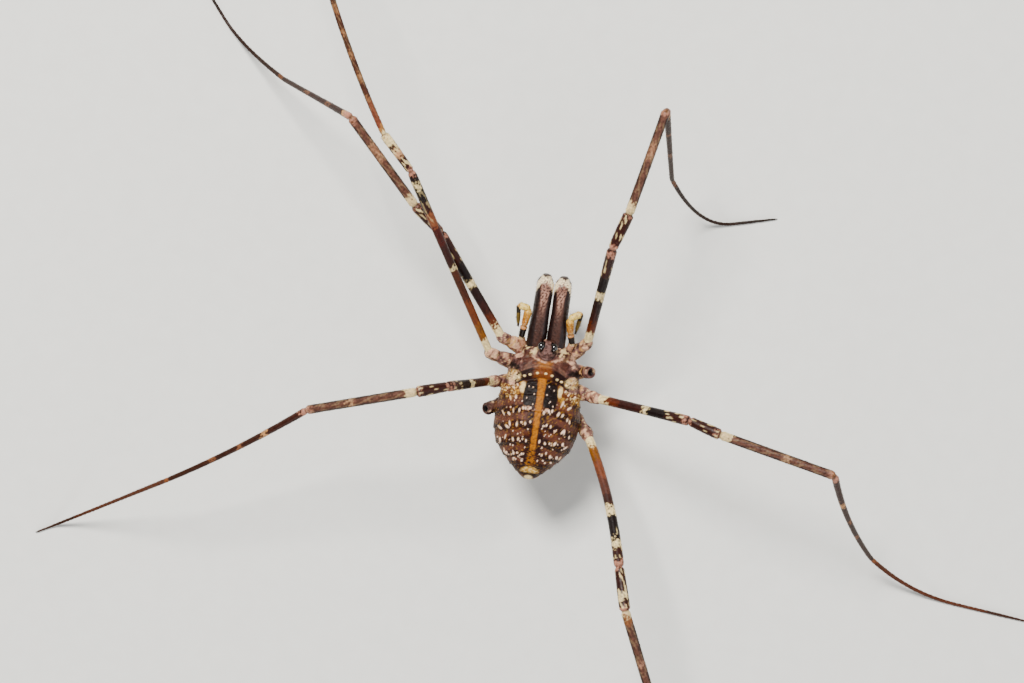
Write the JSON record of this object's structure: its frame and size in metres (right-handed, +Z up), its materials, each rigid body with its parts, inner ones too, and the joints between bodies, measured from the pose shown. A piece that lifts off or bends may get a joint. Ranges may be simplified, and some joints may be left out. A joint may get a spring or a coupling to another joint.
{
  "type": "harvestman",
  "caption": "Long-legged harvestman standing still: fused oval body, raised eye mound, long forward jaws, thin bent legs resting on their feet, and bare sockets where legs were shed.",
  "frame": {"origin": "on the floor, under the middle of the model's box; the feet rest at z = 0", "axes": "+Z up, +Y the way the animal faces, +X its right side"},
  "size_m": [0.0602, 0.0738, 0.0151],
  "materials": {
    "abdomen": "dark red-brown plates with pale spots and an orange middle stripe, dull sheen",
    "carapace": "grey-brown and lilac mottling with fine bumps, nearly matte",
    "eye": "black, wet gloss",
    "chelicera": "dark purple-brown, mottled pink towards a cream elbow, satin",
    "palp": "black, orange and cream-yellow lengths, satin",
    "coxa": "pinkish cream with brown edges, nearly matte",
    "leg_femur": "red-brown to black with cream rings, satin",
    "leg_patella": "dark brown speckled with cream, satin",
    "leg_tibia": "purple-brown with pale rings, satin",
    "leg_metatarsus": "brown with small pale marks, satin",
    "leg_tarsus": "warm brown, darker at the tip, satin"
  },
  "bodies": {
    "root": {"abdomen": "abdomen", "carapace": "carapace", "chelicera_left_base": "chelicera", "chelicera_left_finger": "chelicera", "chelicera_left_hand": "chelicera", "chelicera_right_base": "chelicera", "chelicera_right_finger": "chelicera", "chelicera_right_hand": "chelicera", "coxa_left_1": "coxa", "coxa_left_2": "coxa", "coxa_left_3": "coxa", "coxa_left_4": "coxa", "coxa_right_1": "coxa", "coxa_right_2": "coxa", "coxa_right_3": "coxa", "coxa_right_4": "coxa", "eye_left": "eye", "eye_mound": "carapace", "eye_right": "eye", "leg_left_1_femur": "leg_femur", "leg_left_1_metatarsus": "leg_metatarsus", "leg_left_1_patella": "leg_patella", "leg_left_1_tarsus": "leg_tarsus", "leg_left_1_tibia": "leg_tibia", "leg_left_2_femur": "leg_femur", "leg_left_2_metatarsus": "leg_metatarsus", "leg_left_2_patella": "leg_patella", "leg_left_2_tarsus": "leg_tarsus", "leg_left_2_tibia": "leg_tibia", "leg_left_3_femur": "leg_femur", "leg_left_3_metatarsus": "leg_metatarsus", "leg_left_3_patella": "leg_patella", "leg_left_3_tarsus": "leg_tarsus", "leg_left_3_tibia": "leg_tibia", "leg_right_1_femur": "leg_femur", "leg_right_1_metatarsus": "leg_metatarsus", "leg_right_1_patella": "leg_patella", "leg_right_1_tarsus": "leg_tarsus", "leg_right_1_tibia": "leg_tibia", "leg_right_3_femur": "leg_femur", "leg_right_3_metatarsus": "leg_metatarsus", "leg_right_3_patella": "leg_patella", "leg_right_3_tarsus": "leg_tarsus", "leg_right_3_tibia": "leg_tibia", "leg_right_4_femur": "leg_femur", "leg_right_4_metatarsus": "leg_metatarsus", "leg_right_4_patella": "leg_patella", "leg_right_4_tarsus": "leg_tarsus", "leg_right_4_tibia": "leg_tibia", "palp_left_femur": "palp", "palp_left_patella": "palp", "palp_left_tarsus": "palp", "palp_left_tibia": "palp", "palp_right_femur": "palp", "palp_right_patella": "palp", "palp_right_tarsus": "palp", "palp_right_tibia": "palp"}
  },
  "joints": []
}
